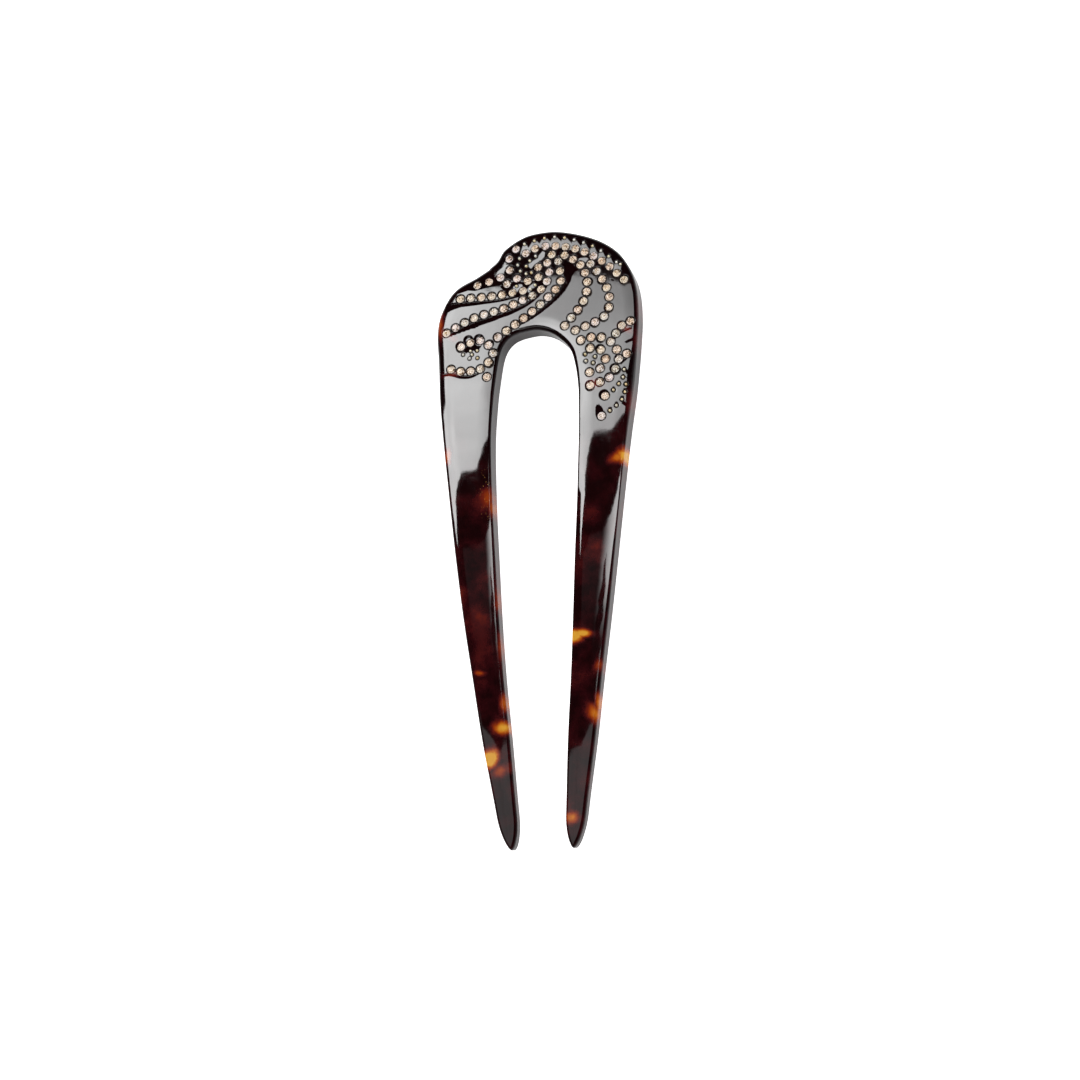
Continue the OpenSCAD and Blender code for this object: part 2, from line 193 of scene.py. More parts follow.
def pin_outline():
    """The pin's outline in the flat sheet, closed and clockwise from the left tip, and the
    width of the roll and rise of the crown at each of its points."""
    hw, hg = HEAD_W / 2, GAP_W / 2
    left = [(-o * hw, s * LEG_L, -i * hg, s * LEG_L) for s, o, i in LEG_SECTIONS]
    right = [(o * hw, s * LEG_L, i * hg, s * LEG_L) for s, o, i in reversed(LEG_SECTIONS)]
    head = [(a * hw, LEG_L + b * HEAD_H, c * hg, LEG_L + d * HEAD_H)
            for a, b, c, d in HEAD_SECTIONS]
    sections = left + head + right
    last = len(sections) - 1
    first_l = LEG_SECTIONS[1][0] * LEG_L
    # the points stand closest at the very tip
    tip = TIP_L * (1 - np.cos(np.radians(np.linspace(3, 90, 30)))) / first_l
    t = np.concatenate([tip, np.arange(tip[-1] + TRACK_STEP, last - tip[-1], TRACK_STEP),
                        last - tip[::-1]])
    s = curve_at(sections, t)
    outer, inner = s[:, :2], s[:, 2:]
    mid = (outer + inner) / 2
    share = np.where(mid[:, 1] >= TIP_L, 1.0,
                     (1 - np.clip(1 - mid[:, 1] / TIP_L, 0, 1) ** 2) ** TIP_POWER)[:, None]
    outer, inner = mid + (outer - mid) * share, mid + (inner - mid) * share

    def step(y):
        return TIP_STEP + MORE_STEP * smooth(y / STEP_OVER)

    def shape_at(track, side):
        share = smooth(0.5 + track[:, 0] / SIDE_BLEND)[:, None]
        left, right = [
            np.stack([np.interp(track[:, 1], *zip(*tab)) for tab in SIDES[side + way]], -1)
            for way in (" left", " right")]
        return left + (right - left) * share

    outer, inner = evenly(outer, step), evenly(inner[::-1], step)
    shapes = np.vstack([shape_at(outer, "outer"), shape_at(inner, "inner")])
    return np.vstack([outer, inner]), shapes


class Edge:
    """Distance to the outline and the direction away from it, for points inside it."""

    def __init__(self, loop, shape):
        self.loop = loop
        self.shape = shape
        nxt = np.roll(loop, -1, 0)
        self.seg = nxt - loop
        self.inward = right_of(unit(nxt - np.roll(loop, 1, 0)))
        # the nearest piece of the outline is found by six points on each
        parts = 6
        self.owner = np.repeat(np.arange(len(loop)), parts)
        f = np.tile(np.arange(parts) / parts, len(loop))[:, None]
        dense = loop[self.owner] + self.seg[self.owner] * f
        self.tree = KDTree(len(dense))
        for k, p in enumerate(dense):
            self.tree.insert((p[0], p[1], 0), k)
        self.tree.balance()

    def look(self, p):
        """Signed distance, unit direction inward, roll width and crown at the points p."""
        near = np.array([self.tree.find((a, b, 0))[1] for a, b in p])
        own = self.owner[near]
        best = np.full(len(p), 1e9)
        side = np.zeros(len(p))
        for shift in (-1, 0, 1):
            k = (own + shift) % len(self.loop)
            a, s = self.loop[k], self.seg[k]
            f = np.clip(((p - a) * s).sum(1) / (s * s).sum(1), 0, 1)[:, None]
            off = p - (a + s * f)
            d = norm(off, axis=1)
            nrm = self.inward[k] * (1 - f) + self.inward[(k + 1) % len(self.loop)] * f
            better = d < best - 1e-12
            best = np.where(better, d, best)
            side = np.where(better, (off * nrm).sum(1), side)
            at = nrm.copy() if shift == -1 else np.where(better[:, None], nrm, at)
        return np.where(side < 0, -best, best), unit(at), *self.shape[own].T


# Grooves filed below and beside the rows: the line of the row, and the groove's
# width at each of its points. Points are in the flat sheet, in millimetres.
GROOVES = [
    # under the second row
    ([(-22, 124), (-18, 124.2), (-13.1, 124.1), (-8.3, 124.2), (-3.4, 124.9)],
     [2.4, 1.3, 0.9, 0.65, 0.45]),
    # under the third row
    ([(-22, 116.2), (-19, 117.5), (-14.7, 119.3), (-10.2, 120.5), (-5.4, 121.7), (-1.1, 123.7),
      (2.4, 127)], [0.6, 1, 1.6, 1.5, 1.1, 0.8, 0.5]),
    # under the fourth row
    ([(-9.5, 114), (-5, 117.3), (-0.7, 119.9), (3.1, 123), (5.1, 125.3), (6.2, 127.6)],
     [0.3, 0.5, 0.9, 1.1, 1.3, 1.7]),
    # under the hook's foot
    ([(-22.5, 107.2), (-19.7, 107.4), (-17.1, 106.7), (-15, 106.6), (-12.5, 107.3)],
     [0.6, 0.8, 0.9, 0.8, 0.4]),
    # beside the lobe's upper row, red at its foot
    ([(17, 110.9), (18.4, 113.4), (20.2, 114.6), (22.6, 115.4)], [0.2, 0.4, 0.6, 0.5]),
]
# A groove's lowest line and its depth, as shares of its width; its ends fade out over
# GROOVE_FADE, and nothing of it is further from its line than GROOVE_REACH
GROOVE_DOWN, GROOVE_DEEP, GROOVE_FADE, GROOVE_REACH = 0.18, 0.17, 0.8, 3
# The mesh follows a groove by these lines: share of its width, and slip past it
GROOVE_LINES = ((0, -0.04), (0, 0.05), (0.35, 0), (GROOVE_DOWN, -0.05), (GROOVE_DOWN, 0.05),
                (1, -0.05), (1, 0.04))
GROOVE_PARTS, GROOVE_STEP = 8, 0.26
# It follows every other border by a line on each side of it, which may be off at a corner by
# BORDER_MISS, and a scoop by a third ring, SCOOP_INNER inside its border
BORDER_SLIP, BORDER_STEP, BORDER_MISS = 0.035, 0.14, 0.012
SCOOP_POINTS, SCOOP_INNER = 40, 0.16

# Lands: small flats left between the stones, tilted down toward the tips
LAND_TILT = 0.12
LANDS = [
    [(-10.19, 129.55), (-9.51, 130.83), (-8.37, 131.71), (-7.8, 132.34), (-6.98, 132.28),
     (-7.55, 131.74), (-7.87, 130.94), (-8.08, 130.35), (-9.37, 130.33)],
    [(-2.21, 132.13), (-1.36, 132.72), (-0.09, 133.34), (0.61, 133.41), (0.17, 132.59),
     (-0.86, 131.95), (-1.65, 130.92), (-2.18, 131.45)],
    [(-2.53, 125.8), (-1.97, 126.72), (-0.71, 127.58), (-0.16, 127.17), (-0.56, 126.48),
     (-1.37, 126.06), (-1.92, 125.15)],
    [(-5.84, 126.78), (-5.04, 127.44), (-3.75, 127.34), (-3.38, 126.71), (-4.41, 126.19),
     (-4.74, 125.61)],
    [(0, 133.9), (0.9, 134.95), (1.5, 134.6), (1.35, 133.6), (0.55, 132.7), (-0.1, 133.2)],
    [(9.19, 131.73), (9.63, 132.54), (11.26, 132.53), (11.69, 132.25), (11.06, 131.46),
     (10.46, 131.87)],
    [(16.75, 127.14), (17.69, 126.95), (18.05, 126.25), (17.11, 126.45)],
]
# The spurs of the crest: their tilt, half their width at the stud, how far they run past
# it, and half their width at each stone, left to right
SPUR_TILT, SPUR_STUD_W, SPUR_PAST = 0.075, 0.2, 0.35
SPUR_STONE_W = [1.3, 1.9, 2.0, 2.0, 1.9, 1.5, 1.2, 1.1, 1.1, 1.1, 1.0, 0.8]
# The sunk ground of the field between the rows, tilted up toward the crest
FIELD_TILT = 0.05
FIELDS = [
    [(-19.12, 126.06), (-17.72, 126.43), (-16.32, 126.8), (-14.66, 126.55), (-13.02, 126.9),
     (-10.91, 127.22), (-8.8, 127.41), (-8.13, 128.21), (-8.17, 129.42), (-9.1, 129.01),
     (-10.06, 129.57), (-10.6, 130.6), (-11.4, 132.2), (-13.4, 131.9), (-15.6, 131.1),
     (-17.6, 129.9), (-19.6, 128), (-20.6, 126.2)],
    [(-8.8, 127.29), (-7.93, 126.02), (-6.83, 124.61), (-5.18, 124.36), (-3.55, 124.59),
     (-1.88, 123.5), (-0.03, 124.07), (1.57, 125.27), (2.12, 126.42), (2.9, 127.57),
     (3.09, 128.76), (0.54, 128.24), (-2.96, 128.04), (-6.49, 128.32), (-8.13, 128.21)],
]
# Hollows: small cuts in the face, their floor tilted up toward the crest. The tilt at the
# height HOLLOW_TOP, and what it gains with each millimetre below that
HOLLOW_TILT, HOLLOW_GAIN, HOLLOW_TOP = 0.05, 0.0045, 127
# Fields and hollows are at least this deep
LEAST_CUT = 0.02
HOLLOWS = [
    # between the hook's head and its studs
    [(-16.98, 112.22), (-16.88, 112.57), (-16.32, 113.48), (-15.14, 113.51), (-14.46, 114.1),
     (-13.74, 113.52), (-12.56, 113.43), (-13.12, 112.65), (-13.94, 112.47), (-14.04, 111.89),
     (-14.52, 112.28), (-15.12, 112.68), (-15.22, 112.09), (-15.8, 112.02), (-16.15, 111.69)],
    # the thorn at the right edge
    [(20.5, 111.78), (21, 111.4), (21.8, 111.7), (22.6, 111.95), (22.58, 113.15), (22.02, 112.6),
     (21.22, 112.2)],
    # the drop above the lowest single stone
    [(14, 96.4), (14.05, 97), (14.35, 97.62), (14.8, 97.8), (15.28, 97.4), (15.74, 96.64),
     (15.96, 95.84), (15.2, 95.2), (14.25, 94.75), (14.02, 95.4)],
    # the notch below the lobe's last stone
    [(19.36, 106.86), (20.04, 107.74), (21.07, 108.13), (21.19, 107.66), (20.51, 107.12),
     (19.83, 106.48)],
    # beside the top of the fourth row
    [(5.85, 131.6), (6.75, 132.35), (7.85, 131.55), (8.75, 130.65), (9.25, 129.75),
     (8.45, 129.05), (7.95, 128.25), (7.75, 127.2), (7.1, 126.1), (6.2, 126.5), (6.1, 127.8),
     (6.05, 129.3), (5.85, 130.5)],
    # the ragged margin beside the small studs
    [(20.72, 104.98), (21.89, 105.76), (22.28, 104.22), (21.15, 104.2)],
    [(20.9, 103.57), (21.81, 102.54), (22.29, 102.83), (22.28, 104)],
    [(20.31, 98.26), (20, 97.53), (20.9, 96.8), (21.86, 97.48)],
]
# Scoops: the cutter's marks beside single seats, x, y and radius
SCOOP_STEEP, SCOOP_RUN = 0.5, 0.55
SCOOPS = [
    (11.78, 126.68, 1.2), (11.66, 124.1, 1.17), (10.87, 121.85, 1.13), (9.65, 119.92, 1.11),
    (8.2, 118.27, 1.1), (14.98, 126.86, 1.15), (16.77, 119.97, 1.13), (15.7, 117.89, 1.13),
    (13.61, 116.67, 1.11), (10.92, 129.02, 1.11), (14.9, 110.59, 1.15), (12.64, 110.71, 1.11),
    (18.37, 105.78, 1.22), (18.68, 105.33, 1.17), (15.99, 99.81, 1.26), (14.87, 102.85, 1.11),
    (12.76, 101.97, 1.17), (12.64, 102.35, 1.09), (10.45, 112.75, 1.13), (12.9, 113.31, 1.11),
    (15.06, 113.03, 1.15), (-17.68, 113.6, 1.17), (-15.84, 114.88, 1.2), (-13.37, 114.92, 1.26),
    (-17.54, 113.12, 1.17), (-10.85, 113.59, 1.11), (-8.91, 114.85, 1.13), (-6.8, 116.4, 1.13),
    (-4.83, 117.83, 1.13), (-2.78, 119.13, 1.15), (-0.91, 120.42, 1.15), (-10.76, 109.03, 1.17)]


def crest_spurs(stones, studs):
    """The spur of each crest stone, from the stone out to its stud."""
    spurs = []
    bases = sorted(tuple(map(float, flatten(at)[:2])) for at, _ in stones["crest_stones"])
    tips = sorted(tuple(map(float, flatten(at)[:2])) for at, _ in studs["crest_studs"])
    pairs = list(zip(bases[:-1], tips)) + [(bases[-2], tips[-1])]
    for (start, end), wide in zip(pairs, SPUR_STONE_W):
        start, end = np.array(start), np.array(end)
        way = (end - start) / norm(end - start)
        out = np.array([way[1], -way[0]])
        end = end + way * SPUR_PAST
        spurs.append([start - out * wide, end - out * SPUR_STUD_W,
                      end + out * SPUR_STUD_W, start + out * wide])
    return spurs


def along_line(line):
    """The lengths of a line's pieces, and the way run at each of its points."""
    length = norm(np.diff(line, axis=0), axis=1)
    return length, np.concatenate([[0], np.cumsum(length)])


def inside_by(p, poly):
    """Distance to the border of a closed polygon, positive inside it."""
    a = np.array(poly, float)
    s = np.roll(a, -1, 0) - a
    rel = p[:, None, :] - a[None]
    f = np.clip((rel * s).sum(2) / (s * s).sum(1), 0, 1)
    d = norm(rel - s[None] * f[..., None], axis=2).min(1)
    y0, y1 = a[:, 1], np.roll(a[:, 1], -1)
    spans = (y0[None] > p[:, 1:]) != (y1[None] > p[:, 1:])
    with np.errstate(divide="ignore", invalid="ignore"):
        cut = a[:, 0] + (p[:, 1:] - y0) / (y1 - y0) * s[:, 0]
    odd = (spans & (p[:, :1] < cut)).sum(1) % 2 == 1
    return np.where(odd, d, -d)


class Relief:
    """All that was cut into the front face, as a depth at any point of the sheet."""

    def __init__(self, spurs):
        self.grooves = []
        for pts, widths in GROOVES:
            t = np.linspace(0, len(pts) - 1, GROOVE_PARTS * (len(pts) - 1) + 1)
            self.grooves.append((curve_at(pts, t), np.interp(t, range(len(widths)), widths)))
        self.lands = [np.array(poly) for poly in LANDS]
        self.spurs = [np.array(poly) for poly in spurs]
        self.hollows = [np.array(poly) for poly in HOLLOWS]
        self.fields = [np.array(poly) for poly in FIELDS]
        self.scoops = np.array(SCOOPS)

    def groove_depth(self, p):
        """How deep the grooves are at the points p."""
        total = np.zeros(len(p))
        for line, width in self.grooves:
            a, s = line[:-1], np.diff(line, axis=0)
            length, run = along_line(line)
            low, high = line.min(0) - GROOVE_REACH, line.max(0) + GROOVE_REACH
            pick = np.where(((p > low) & (p < high)).all(1))[0]
            if not len(pick):
                continue
            q = p[pick]
            rel = q[:, None, :] - a[None]
            f = np.clip((rel * s).sum(2) / length ** 2, 0, 1)
            off = rel - s[None] * f[..., None]
            d = norm(off, axis=2)
            k = d.argmin(1)
            rows = np.arange(len(q))
            cross = s[k, 0] * rel[rows, k, 1] - s[k, 1] * rel[rows, k, 0]
            signed = np.where(cross < 0, d[rows, k], -d[rows, k])
            along = run[k] + f[rows, k] * length[k]
            fade = np.minimum(smooth(along / GROOVE_FADE), smooth((run[-1] - along) / GROOVE_FADE))
            w = np.maximum(np.interp(along, run, width) * fade, 1e-3)
            u = signed / w
            shape = np.minimum(u / GROOVE_DOWN, (1 - u) / (1 - GROOVE_DOWN))
            total[pick] = np.maximum(total[pick], GROOVE_DEEP * w * np.clip(shape, 0, 1))
        return total

    def depth(self, p):
        """How deep the face is cut at the points p."""
        total = self.groove_depth(p)
        # fields and hollows are sunk; lands and spurs stand in them
        for polys, sunk, tilt, gain in (
                (self.fields, True, FIELD_TILT, 0), (self.lands, False, LAND_TILT, 0),
                (self.spurs, False, SPUR_TILT, 0), (self.hollows, True, HOLLOW_TILT, HOLLOW_GAIN)):
            for poly in polys:
                pick = np.where(((p > poly.min(0)) & (p < poly.max(0))).all(1))[0]
                pick = pick[inside_by(p[pick], poly) > 0] if len(pick) else pick
                if not len(pick):
                    continue
                low, high = poly[:, 1].min(), poly[:, 1].max()
                y = p[pick, 1]
                if sunk:
                    slope = tilt + gain * (HOLLOW_TOP - low)
                    total[pick] = np.maximum(total[pick], LEAST_CUT + slope * (y - low))
                else:
                    total[pick] = tilt * (high - y)
        for x, y, r in self.scoops:
            d = np.hypot(p[:, 0] - x, p[:, 1] - y)
            total = np.maximum(total, SCOOP_STEEP * np.clip(r - d, 0, SCOOP_RUN))
        return total

    def rows(self):
        """Points along the borders of everything cut, so that the mesh keeps them crisp."""
        made = []
        for line, width in self.grooves:
            q = evenly(line, lambda y: GROOVE_STEP)
            w = np.interp(np.linspace(0, 1, len(q)), np.linspace(0, 1, len(width)), width)
            out = right_of(unit(np.gradient(q, axis=0)))
            made += [q + out * (w * share + slip)[:, None] for share, slip in GROOVE_LINES]
        for poly in self.lands + self.spurs + self.hollows + self.fields:
            a = np.vstack([poly, poly[:1]])
            seg, run = along_line(a)
            at = np.linspace(0, run[-1], max(8, int(run[-1] / BORDER_STEP)) + 1)[:-1]
            q = np.stack([np.interp(at, run, a[:, k]) for k in (0, 1)], -1)
            k = np.clip(np.searchsorted(run, at, side="right") - 1, 0, len(seg) - 1)
            out = right_of((np.diff(a, axis=0) / seg[:, None])[k])
            for slip in (-BORDER_SLIP, BORDER_SLIP):
                c = q + out * slip
                off = np.abs(np.abs(inside_by(c, poly)) - BORDER_SLIP)
                made.append(c[off < BORDER_MISS])
        turn = np.linspace(0, 2 * math.pi, SCOOP_POINTS + 1)[:-1]
        circle = np.stack([np.cos(turn), np.sin(turn)], -1)
        for x, y, r in self.scoops:
            made += [circle * at + (x, y)
                     for at in (r + BORDER_SLIP, r - BORDER_SLIP, r - SCOOP_INNER)]
        return np.vstack(made)


# CAD corner points closer than this are one
WELD = 2e-6


def islands(obj):
    """The loose solids of a CAD node, as arrays of their corner points in metres."""
    me = obj.data
    co = np.zeros(len(me.vertices) * 3, np.float32)
    me.vertices.foreach_get("co", co)
    co = co.reshape(-1, 3).astype(float)
    key, back = np.unique(np.round(co / WELD).astype(np.int64), axis=0, return_inverse=True)
    back = back.ravel()
    parent = np.arange(len(key))

    def root(k):
        while parent[k] != k:
            parent[k] = parent[parent[k]]
            k = parent[k]
        return k

    for poly in me.polygons:
        v = [root(back[i]) for i in poly.vertices]
        for k in v[1:]:
            parent[root(k)] = root(v[0])
    first = {}
    for i, k in enumerate(back):
        first.setdefault(k, co[i])
    groups = {}
    for k in range(len(key)):
        groups.setdefault(root(k), []).append(first[k])
    found = [np.array(g) for g in groups.values()]
    return sorted(found, key=lambda g: tuple(np.round(g.mean(0), 6)))


STONE_NODES = ["crest_stones", "shoulder_stones", "wave_stones", "hook_stones",
               "inner_stones", "sweep_stones", "lobe_stones", "single_stones"]
STUD_NODES = ["crest_studs", "field_studs"]
# A stone's table and tip above and below the surface, and its girdle below it
TABLE_Z, TIP_Z, GIRDLE_TOP, GIRDLE_FOOT = 0.24, -0.94, -0.10, -0.16
# A stud's length below the surface, and the layers that hold the ends of stone and stud
STUD_IN, STONE_LAYER, STUD_LAYER = 1.2, 0.0001, 0.00002


def stone_places():
    """For each stone node, the point on the surface and the axis of each stone."""
    places = {}
    for node in STONE_NODES:
        rows = []
        for g in islands(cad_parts[node]):
            flat_way = svd(g - g.mean(0))[2][2]
            along = (g - np.median(g, axis=0)) @ flat_way
            tip = g[np.abs(along).argmax()]
            up = g.mean(0) - tip
            up /= norm(up)
            for _ in range(3):
                along = (g - tip) @ up
                top = g[along > along.max() - STONE_LAYER]
                up = top.mean(0) - tip
                up /= norm(up)
            rows.append((tip - up * TIP_Z * MM, up))
        places[node] = rows
    return places


def stud_places():
    """For each stud node, the point on the surface and the axis of each stud."""
    places = {}
    for node in STUD_NODES:
        rows = []
        for g in islands(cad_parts[node]):
            mid = g.mean(0)
            _, _, vt = svd(g - mid)
            up = vt[0] * (1 if vt[0][2] > 0 else -1)
            along = (g - mid) @ up
            foot = g[along < along.min() + STUD_LAYER].mean(0)
            rows.append((foot + up * STUD_IN * MM, up))
        places[node] = rows
    return places


def mesh_piece(name, points, faces, normals=None, smooth_shade=True):
    """A new object with the given mesh."""
    me = bpy.data.meshes.new(name)
    me.from_pydata([tuple(p) for p in points], [], faces)
    me.validate()
    me.update()
    me.polygons.foreach_set("use_smooth", [smooth_shade] * len(me.polygons))
    if normals is not None:
        me.normals_split_custom_set_from_vertices([tuple(n) for n in normals])
    obj = bpy.data.objects.new(name, me)
    bpy.context.scene.collection.objects.link(obj)
    return obj


def turns_left(a, b, c):
    """Whether the corners a, b, c of flat triangles run counter-clockwise."""
    return (b[:, 0] - a[:, 0]) * (c[:, 1] - a[:, 1]) - (b[:, 1] - a[:, 1]) * (c[:, 0] - a[:, 0]) > 0


def grid_of(x_step, low, high, y_step, slant=0.0):
    """A grid of points over the head's width; slant moves every second row along."""
    ys = np.arange(low, high, y_step)
    gx, gy = np.meshgrid(np.arange(-HEAD_W / 2, HEAD_W / 2, x_step), ys)
    gx = gx + (np.arange(len(ys)) % 2)[:, None] * slant
    return np.stack([gx.ravel(), gy.ravel()], -1)


def build_body(stones, studs):
    """The carved body with its holes, as one closed mesh."""
    loop, shape = pin_outline()
    roll_w = shape[:, 0]
    edge = Edge(loop, shape)
    cuts = Relief(crest_spurs(stones, studs))
    seats = []
    for group, r, lip in ((stones, SEAT_R, LIP), (studs, STUD_R, STUD_LIP)):
        for rows in group.values():
            for at, up in rows:
                x, y, _ = map(float, flatten(at))
                deep = r == STUD_R and x > DEEP_FROM_X and y < DEEP_TO_Y
                seats.append((x, y, r, *(DEEP_STUD_LIP if deep else lip), at, up))
    centre = np.array([s[:2] for s in seats])
    radius, lip_w, lip_h = np.array([s[2:5] for s in seats]).T

    def nearest_seat(p):
        """The nearest hole to each point, and the gap to its rim."""
        gap = norm(p[:, None] - centre[None], axis=2) - radius
        k = gap.argmin(1)
        return k, gap[np.arange(len(p)), k]

    def lip_depth(p):
        k, gap = nearest_seat(p)
        return lip_h[k] * np.clip(1 - np.maximum(gap, 0) / lip_w[k], 0, 1)

    def roll(d, w):
        u = np.clip(1 - d / w, 0, 1)
        return ROLL_RISE * w * (1 - np.sqrt(np.clip(1 - u * u, 0, 1)))

    def crown(d, rise):
        return rise * np.clip(1 - d / CROWN_W, 0, 1) ** 2

    def relief(p):
        return np.maximum(cuts.depth(p), lip_depth(p))

    def front_normals(p, d, inward, w, rise):
        e = SLOPE_STEP
        gx = -(relief(p + (e, 0)) - relief(p - (e, 0))) / (2 * e)
        gy = -(relief(p + (0, e)) - relief(p - (0, e))) / (2 * e)
        gy = gy + (thick(p[:, 1] + e) - thick(p[:, 1] - e)) / (2 * e)
        u = np.clip(1 - d / w, 0, 1)
        slope = ROLL_RISE * u / np.sqrt(np.clip(1 - u * u, 1e-6, 1))
        slope = slope + 2 * rise / CROWN_W * np.clip(1 - d / CROWN_W, 0, 1)
        return unit(np.stack([-gx - slope * inward[:, 0], -gy - slope * inward[:, 1],
                              np.ones(len(p))], -1))

    # The front face's points: the edge and the rims of the holes, then the lines of the
    # cuts, the loops of the roll, the rings round the holes, and a grid between them
    n_edge = len(loop)
    turn = np.arange(RING_N) / RING_N * 2 * math.pi
    circle = np.stack([np.cos(turn), np.sin(turn)], -1)
    pts = [loop] + [c + circle * r for c, r in zip(centre, radius)]

    def take(q, apart):
        """Keep the points of q that stand clear of each other and of all taken so far."""
        tree = KDTree(sum(map(len, pts)))
        for k, (a, b) in enumerate(np.vstack(pts)):
            tree.insert((a, b, 0), k)
        tree.balance()
        q = q[[tree.find((a, b, 0))[2] >= apart for a, b in q]]
        kept, cells = [], {}
        for a, b in q:
            i, j = int(a // apart), int(b // apart)
            near = [v for m in (i - 1, i, i + 1) for n in (j - 1, j, j + 1)
                    for v in cells.get((m, n), ())]
            if all((a - v[0]) ** 2 + (b - v[1]) ** 2 >= apart * apart for v in near):
                cells.setdefault((i, j), []).append((a, b))
                kept.append((a, b))
        pts.append(np.array(kept).reshape(-1, 2))

    def triangles(flat, edges):
        """Triangles over the flat points that keep the edges, and each point's number in flat."""
        out = delaunay_2d_cdt([Vector(p) for p in flat], edges, [], 0, 1e-6, True)
        number = np.array([min(o) if o else -1 for o in out[3]])
        return np.array([v[:] for v in out[0]]), np.array(out[2]), number

    q = cuts.rows()
    take(q[(nearest_seat(q)[1] > CUT_FROM_HOLE) & (edge.look(q)[0] > CUT_FROM_EDGE)], CUT_APART)
    rolls = []
    for share in 1 - np.cos(np.radians(ROLL_TURNS)):
        d = roll_w * share
        q = loop + edge.inward * d[:, None]
        # at tight corners only the points stay that lie nearest their own side
        own = np.abs(edge.look(q)[0] - d) < 0.12 * d + 0.005
        rolls.append(q[own & (nearest_seat(q)[1] > ROLL_FROM_HOLE)])
    rings = []
    for gap in LIP_RINGS:
        for k, (c, r) in enumerate(zip(centre, radius)):
            # a stud's rings are coarser, and it has no second one
            if r == STUD_R and gap == LIP_RINGS[1]:
                continue
            q = c + circle[:: 2 if r == STUD_R else 1] * (r + gap)
            own, near = nearest_seat(q)
            rings.append(q[(own == k) & (near > gap - 0.01)
                           & (edge.look(q)[0] > LIP_FROM_EDGE)])
    take(np.vstack(rolls), ROLL_APART)
    take(np.vstack(rings), LIP_APART)
    grid = np.vstack([grid_of(HEAD_STEP, LEG_L, PIN_L, HEAD_STEP, HEAD_STEP / 2),
                      grid_of(LEG_STEP, 1, LEG_L, LEG_STEP)])
    d, _, w, _ = edge.look(grid)
    take(grid[(d > w + GRID_FROM_ROLL) & (nearest_seat(grid)[1] > GRID_FROM_HOLE)], GRID_APART)
    edges = [(k, (k + 1) % n_edge) for k in range(n_edge)]
    rims = range(n_edge, n_edge + RING_N * len(seats), RING_N)
    rim_edges = [(base + k, base + (k + 1) % RING_N) for base in rims for k in range(RING_N)]
    co, tri, number = triangles(np.vstack(pts), edges + rim_edges)
    mid = co[tri].mean(1)
    k, gap = nearest_seat(mid)
    tri = tri[(edge.look(mid)[0] > 0) & (gap > -RIM_SAG * radius[k])]

    dist, inward, wide, rise = edge.look(co)
    dist = np.maximum(dist, 0)
    on_edge = (number >= 0) & (number < n_edge)
    dist[on_edge] = 0
    inward[on_edge] = edge.inward[number[on_edge]]
    wide[on_edge], rise[on_edge] = shape[number[on_edge]].T
    h = thick(co[:, 1]) - roll(dist, wide) - crown(dist, rise) - relief(co)
    pos = bend(co[:, 0], co[:, 1], h)
    nor = bend_turn(co[:, 1], front_normals(co, dist, inward, wide, rise))
    # every triangle of the front faces up
    up = turns_left(*co[tri].swapaxes(0, 1))
    verts, normals, faces = [], [], [tuple(t) if u else (t[0], t[2], t[1]) for t, u in zip(tri, up)]
    where = {int(o): k for k, o in enumerate(number) if o >= 0}

    def add(points, ways):
        """Add points with their normals; gives the points' numbers."""
        count = sum(map(len, verts))
        verts.append(points)
        normals.append(ways)
        return list(range(count, count + len(points)))

    def wall(one, other):
        """A strip of faces between two closed rows of points."""
        for k in range(len(one)):
            m = (k + 1) % len(one)
            faces.append((one[k], one[m], other[m], other[k]))

    add(pos, nor)
    # The side wall, and the rounding of the back edge
    back_r = BACK_TIP_R + (BACK_R - BACK_TIP_R) * smooth(loop[:, 1] / BACK_FULL_AT)
    ids = [where[k] for k in range(n_edge)]
    for turned in np.radians(BACK_TURNS):
        c, s = math.cos(turned), math.sin(turned)
        last_loop = loop + edge.inward * (back_r * (1 - c))[:, None]
        way = np.concatenate([-edge.inward * c, np.full((n_edge, 1), -s)], 1)
        low = add(bend(*last_loop.T, back_r * (1 - s)), bend_turn(last_loop[:, 1], way))
        wall(ids, low)
        ids = low
    # The back face; near its border the triangles are tested against the last loop itself
    grid = grid_of(BACK_STEP, 1, PIN_L, BACK_STEP)
    grid = grid[edge.look(grid)[0] > BACK_R + BACK_FROM_ROUND]
    co, tri, number = triangles(np.vstack([last_loop, grid]), edges)
    mid = co[tri].mean(1)
    d = edge.look(mid)[0]
    keep = d > BACK_R
    near = np.abs(d - BACK_R) < BACK_DOUBT
    # in twelve shares, to spare memory
    keep[near] = np.concatenate([inside_by(few, last_loop) > 0
                                 for few in np.array_split(mid[near], 12)])
    tri = tri[keep]
    on_edge = (number >= 0) & (number < n_edge)
    new = co[~on_edge]
    back_ids = np.zeros(len(co), int)
    back_ids[on_edge] = np.array(ids)[number[on_edge]]
    back_ids[~on_edge] = add(bend(*new.T, np.zeros(len(new))),
                             bend_turn(new[:, 1], np.tile([0.0, 0, -1], (len(new), 1))))
    for (a, b, c), up in zip(back_ids[tri].tolist(), turns_left(*co[tri].swapaxes(0, 1))):
        faces.append((a, c, b) if up else (a, b, c))
